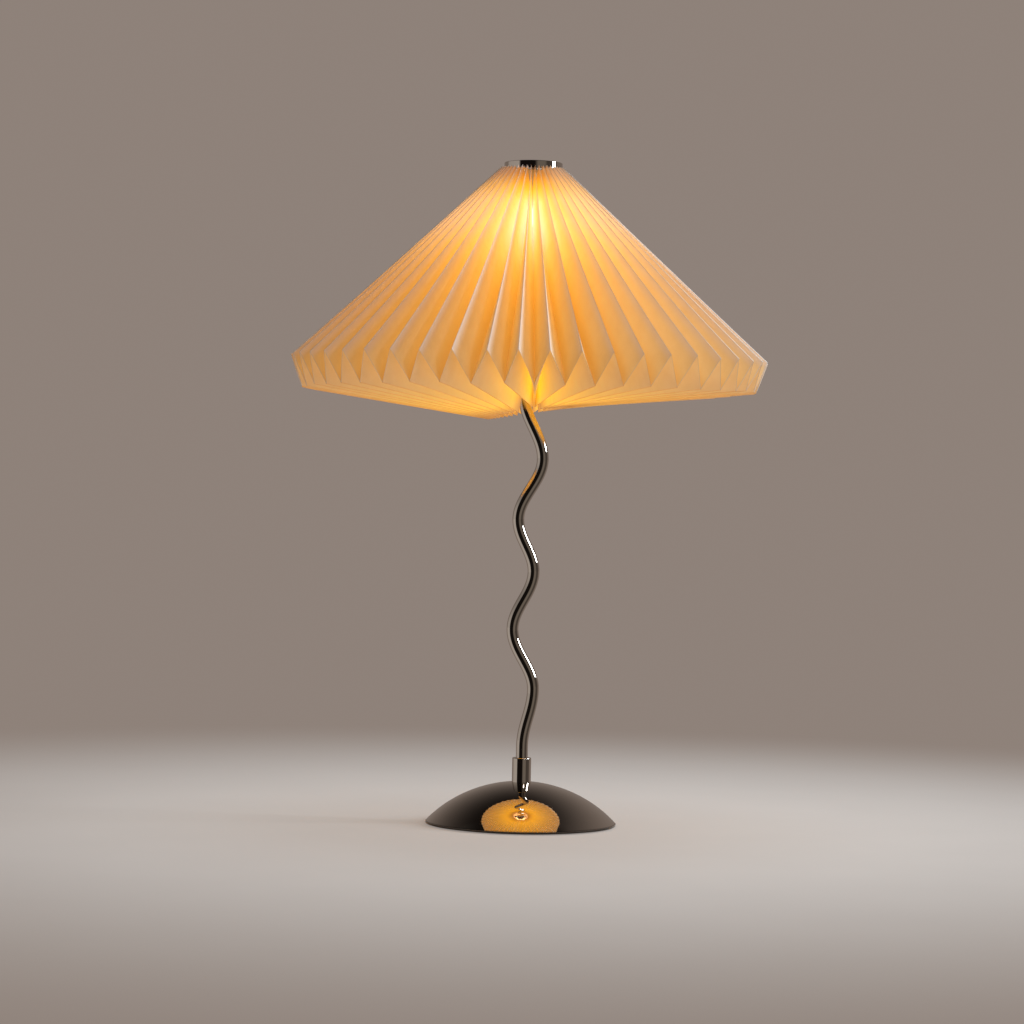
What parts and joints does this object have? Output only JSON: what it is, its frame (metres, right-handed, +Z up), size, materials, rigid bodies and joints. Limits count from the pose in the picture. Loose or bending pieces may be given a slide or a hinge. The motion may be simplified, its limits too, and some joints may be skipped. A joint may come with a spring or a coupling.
{
  "type": "pleated paper table lamp",
  "caption": "Table lamp: a folded paper cone shade with a turned-under rim on a wavy polished tube stem and a domed foot.",
  "frame": {"origin": "middle of the foot's underside, on the table", "axes": "+Z up along the lamp's axis, the front faces -Y, the stem waves in the XZ plane"},
  "size_m": [0.401, 0.401, 0.5564],
  "materials": {
    "polished_metal": "mirror polish",
    "cast_iron": "as cast, black",
    "felt": "felt",
    "black_plastic": "moulded, matte",
    "white_plastic": "moulded, matte",
    "zinc_steel": "zinc plated",
    "lead_sheath": "extruded sheath",
    "porcelain": "glazed",
    "brass": "drawn",
    "nickel": "satin",
    "black_glass": "moulded",
    "board": "coated board",
    "frosted_glass": "frosted",
    "nylon": "moulded",
    "white_paint": "painted",
    "paper": "matte, translucent"
  },
  "bodies": {
    "stand": {"base_dome": "polished_metal", "base_weight": "cast_iron", "base_pad": "felt", "cord_inlet": "black_plastic", "terminal_block": "white_plastic", "stem_collar": "polished_metal", "stem_tube": "polished_metal", "stem_washer": "zinc_steel", "stem_nuts": "zinc_steel", "lamp_lead": "lead_sheath", "harp_saddle": "zinc_steel", "harp_wire": "zinc_steel", "harp_stud": "zinc_steel", "socket_cap": "black_plastic", "socket_sleeve": "black_plastic", "socket_core": "porcelain", "socket_shell": "brass", "socket_contact": "brass", "terminal_screws": "brass"},
    "bulb_foot": {"bulb_contact": "nickel"},
    "bulb": {"bulb_insulator": "black_glass", "bulb_cap": "nickel", "bulb_housing": "white_plastic", "led_board": "board", "bulb_globe": "frosted_glass"},
    "bush": {"shade_bush": "nylon"},
    "shade": {"shade_carrier": "white_paint", "shade_panel_front_right": "paper", "shade_panel_back_right": "paper", "shade_panel_back_left": "paper", "shade_panel_front_left": "paper", "shade_underside_front_right": "paper", "shade_underside_back_right": "paper", "shade_underside_back_left": "paper", "shade_underside_front_left": "paper", "top_ring": "polished_metal", "top_spider": "zinc_steel"},
    "washer": {"nut_washer": "zinc_steel"},
    "nut": {"shade_nut": "polished_metal"}
  },
  "joints": [
    {"name": "bulb_rise", "type": "slide", "parent": "stand", "child": "bulb_foot", "axis": [0, 0, 1], "range_m": [0, 0.01815]},
    {"name": "bulb_turn", "type": "hinge", "parent": "bulb_foot", "child": "bulb", "pos_m": [0, 0, 0.45], "axis": [0, 0, 1], "range_deg": [0, 1800]},
    {"name": "shade_lift", "type": "slide", "parent": "stand", "child": "bush", "axis": [0, 0, 1], "range_m": [0, 0.215]},
    {"name": "shade_turn", "type": "hinge", "parent": "bush", "child": "shade", "pos_m": [0, 0, 0.54], "axis": [0, 0, 1], "continuous": true},
    {"name": "nut_rise", "type": "slide", "parent": "bush", "child": "washer", "axis": [0, 0, 1], "range_m": [0, 0.004]},
    {"name": "nut_turn", "type": "hinge", "parent": "washer", "child": "nut", "pos_m": [0, 0, 0.554], "axis": [0, 0, 1], "range_deg": [0, 1440]}
  ],
  "couplings": [
    {"joint": "bulb_rise", "follows": "bulb_turn", "m_per_rad": 0.00057757},
    {"joint": "nut_rise", "follows": "nut_turn", "m_per_rad": 0.00015915}
  ]
}
